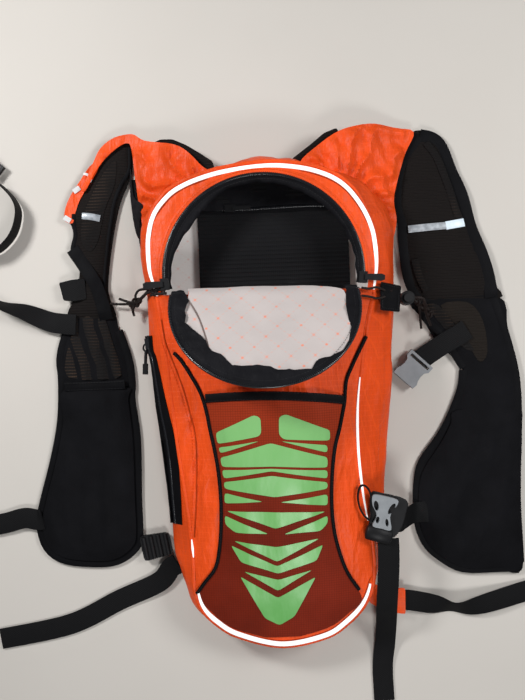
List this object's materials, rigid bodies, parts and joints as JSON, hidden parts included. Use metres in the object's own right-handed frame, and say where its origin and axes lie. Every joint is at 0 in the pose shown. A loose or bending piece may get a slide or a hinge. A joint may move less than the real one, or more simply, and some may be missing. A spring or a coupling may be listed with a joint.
{
  "type": "ski backpack",
  "caption": "Vest-harness ski backpack lying on its back, main flap folded open, with zips, pockets, straps, buckles and cord lock.",
  "frame": {"origin": "middle of the back panel's outer face, which lies on the ground", "axes": "+Z out of the bag's front, +Y towards its top grab edge, +X to the right seen from the front"},
  "size_m": [0.5963, 0.5573, 0.1192],
  "materials": {
    "mesh": "open black knit",
    "foam": "closed-cell foam",
    "lining": "grey printed lining",
    "orange_fabric": "ripstop weave",
    "pocket_mesh": "see-through mesh with green print",
    "black_tape": "woven tape",
    "white_piping": "satin piping",
    "zip_plastic": "zip coil",
    "slider_metal": "painted zinc",
    "buckle_plastic": "moulded acetal",
    "webbing": "woven webbing",
    "reflector": "silver reflective tape",
    "cord": "elastic cord"
  },
  "bodies": {
    "bag": {"back_mesh": "mesh", "back_foam": "foam", "back_lining": "lining", "side_wall": "orange_fabric", "wall_lining": "lining", "front_panel": "orange_fabric", "front_pocket": "pocket_mesh", "pocket_hem": "black_tape", "binding_left": "black_tape", "binding_right": "black_tape", "piping": "white_piping", "main_zip_tape": "black_tape", "main_zip_coil": "zip_plastic", "side_zip_tape": "black_tape", "inner_pocket": "mesh", "inner_zip_tape": "black_tape", "yoke_left": "mesh", "yoke_right": "mesh", "anchor_left": "webbing", "anchor_right": "orange_fabric", "lower_strap_left": "webbing", "lower_strap_right": "webbing", "waist_strap_tail": "webbing", "waist_web_stub": "webbing", "cord_patch": "black_tape", "bungee_right": "cord", "bungee_left": "cord", "cord_lock_spring": "slider_metal"},
    "flap": {"flap_shell": "orange_fabric", "flap_lining": "lining", "flap_zip_tape": "black_tape"},
    "slider_left": {"main_slider_left": "slider_metal"},
    "pull_left": {"main_pull_left": "buckle_plastic"},
    "slider_right": {"main_slider_right": "slider_metal"},
    "pull_right": {"main_pull_right": "buckle_plastic"},
    "side_slider": {"side_slider": "slider_metal"},
    "side_pull": {"side_pull": "buckle_plastic"},
    "inner_slider": {"inner_slider": "slider_metal"},
    "inner_pull": {"inner_pull": "buckle_plastic"},
    "ladder_left": {"ladder_lock_left": "buckle_plastic"},
    "ladder_right": {"ladder_lock_right": "buckle_plastic"},
    "cord_lock": {"cord_lock_barrel": "buckle_plastic"},
    "cord_button": {"cord_lock_button": "buckle_plastic"},
    "harness_left": {"shoulder_left": "mesh", "vest_left": "mesh", "vest_pocket_left": "mesh", "keeper_left": "webbing", "reflector_left": "reflector"},
    "chest_strap_left": {"chest_strap_left": "webbing"},
    "chest_male": {"chest_buckle_male": "buckle_plastic"},
    "waist_strap_left": {"waist_strap_left": "webbing"},
    "waist_female": {"waist_buckle_female": "buckle_plastic"},
    "harness_right": {"shoulder_right": "mesh", "vest_right": "mesh", "vest_pocket_right": "mesh", "reflector_right": "reflector"},
    "chest_strap_right": {"chest_strap_right": "webbing"},
    "chest_female": {"chest_buckle_female": "buckle_plastic"},
    "waist_male": {"waist_buckle_male": "buckle_plastic"}
  },
  "joints": [
    {"name": "flap_fold", "type": "hinge", "parent": "bag", "child": "flap", "pos_m": [-0.01, 0.102, 0.064], "axis": [1, 0, 0], "range_deg": [-146, 0]},
    {"name": "main_zip_left", "type": "hinge", "parent": "bag", "child": "slider_left", "pos_m": [-0.01, 0.117, 0.061], "axis": [0, 0, -1], "range_deg": [0, 80]},
    {"name": "main_pull_left_tilt", "type": "hinge", "parent": "slider_left", "child": "pull_left", "pos_m": [-0.10028, 0.11069, 0.0653], "axis": [-0.0698, 0.9976, 0], "range_deg": [0, 90]},
    {"name": "main_zip_right", "type": "hinge", "parent": "bag", "child": "slider_right", "pos_m": [-0.01, 0.117, 0.061], "axis": [0, 0, 1], "range_deg": [0, 80]},
    {"name": "main_pull_right_tilt", "type": "hinge", "parent": "slider_right", "child": "pull_right", "pos_m": [0.08028, 0.11069, 0.0653], "axis": [-0.0698, -0.9976, 0], "range_deg": [0, 90]},
    {"name": "side_zip_run", "type": "slide", "parent": "bag", "child": "side_slider", "axis": [0.0815, -0.9967, 0], "range_m": [0, 0.15]},
    {"name": "side_pull_swing", "type": "hinge", "parent": "side_slider", "child": "side_pull", "pos_m": [-0.12402, 0.05657, 0.024], "axis": [-0.9967, -0.0815, 0], "range_deg": [0, 80]},
    {"name": "inner_zip_run", "type": "slide", "parent": "bag", "child": "inner_slider", "axis": [1, 0, 0], "range_m": [0, 0.09]},
    {"name": "inner_pull_tilt", "type": "hinge", "parent": "inner_slider", "child": "inner_pull", "pos_m": [-0.0364, 0.184, 0.0217], "axis": [0, -1, 0], "range_deg": [0, 90]},
    {"name": "ladder_left_tilt", "type": "hinge", "parent": "bag", "child": "ladder_left", "pos_m": [-0.137, -0.1385, 0.0032], "axis": [0, -1, 0], "range_deg": [0, 14]},
    {"name": "ladder_right_tilt", "type": "hinge", "parent": "bag", "child": "ladder_right", "pos_m": [0.252, -0.19, 0.0002], "axis": [0, -1, 0], "range_deg": [0, 40]},
    {"name": "cord_lock_slide", "type": "slide", "parent": "bag", "child": "cord_lock", "axis": [1, 0, 0], "range_m": [-0.003, 0.005]},
    {"name": "cord_lock_press", "type": "slide", "parent": "cord_lock", "child": "cord_button", "axis": [0, 0, -1], "range_m": [0, 0.0015], "stiffness_N_per_m": 300, "springref_m": -0.0005, "deforming": ["cord_lock_spring"]},
    {"name": "harness_left_fold", "type": "hinge", "parent": "bag", "child": "harness_left", "pos_m": [-0.13, 0, 0.005], "axis": [0, 1, 0], "range_deg": [0, 60]},
    {"name": "chest_strap_left_swing", "type": "hinge", "parent": "harness_left", "child": "chest_strap_left", "pos_m": [-0.203, 0.081, 0.0058], "axis": [0, 1, 0], "range_deg": [0, 40]},
    {"name": "chest_male_swing", "type": "hinge", "parent": "chest_strap_left", "child": "chest_male", "pos_m": [-0.263, 0.224, 0.004], "axis": [0, 1, 0], "range_deg": [0, 40]},
    {"name": "waist_strap_left_swing", "type": "hinge", "parent": "harness_left", "child": "waist_strap_left", "pos_m": [-0.2365, -0.107, 0.004], "axis": [0, 1, 0], "range_deg": [0, 40]},
    {"name": "waist_female_swing", "type": "hinge", "parent": "waist_strap_left", "child": "waist_female", "pos_m": [-0.285, -0.1123, 0.001], "axis": [0, 1, 0], "range_deg": [0, 25]},
    {"name": "harness_right_fold", "type": "hinge", "parent": "bag", "child": "harness_right", "pos_m": [0.12, 0, 0.005], "axis": [0, -1, 0], "range_deg": [0, 60], "deforming": ["waist_web_stub", "bungee_right"]},
    {"name": "chest_strap_right_swing", "type": "hinge", "parent": "harness_right", "child": "chest_strap_right", "pos_m": [0.172, 0.055, 0.007], "axis": [0, 0, 1], "range_deg": [0, 40]},
    {"name": "chest_female_swing", "type": "hinge", "parent": "chest_strap_right", "child": "chest_female", "pos_m": [0.1395, 0.0355, 0.0034], "axis": [0, 0, -1], "range_deg": [0, 15]},
    {"name": "waist_male_lift", "type": "hinge", "parent": "bag", "child": "waist_male", "pos_m": [0.0844, -0.1297, 0.048], "axis": [0.9511, -0.309, 0], "range_deg": [0, 60]}
  ]
}
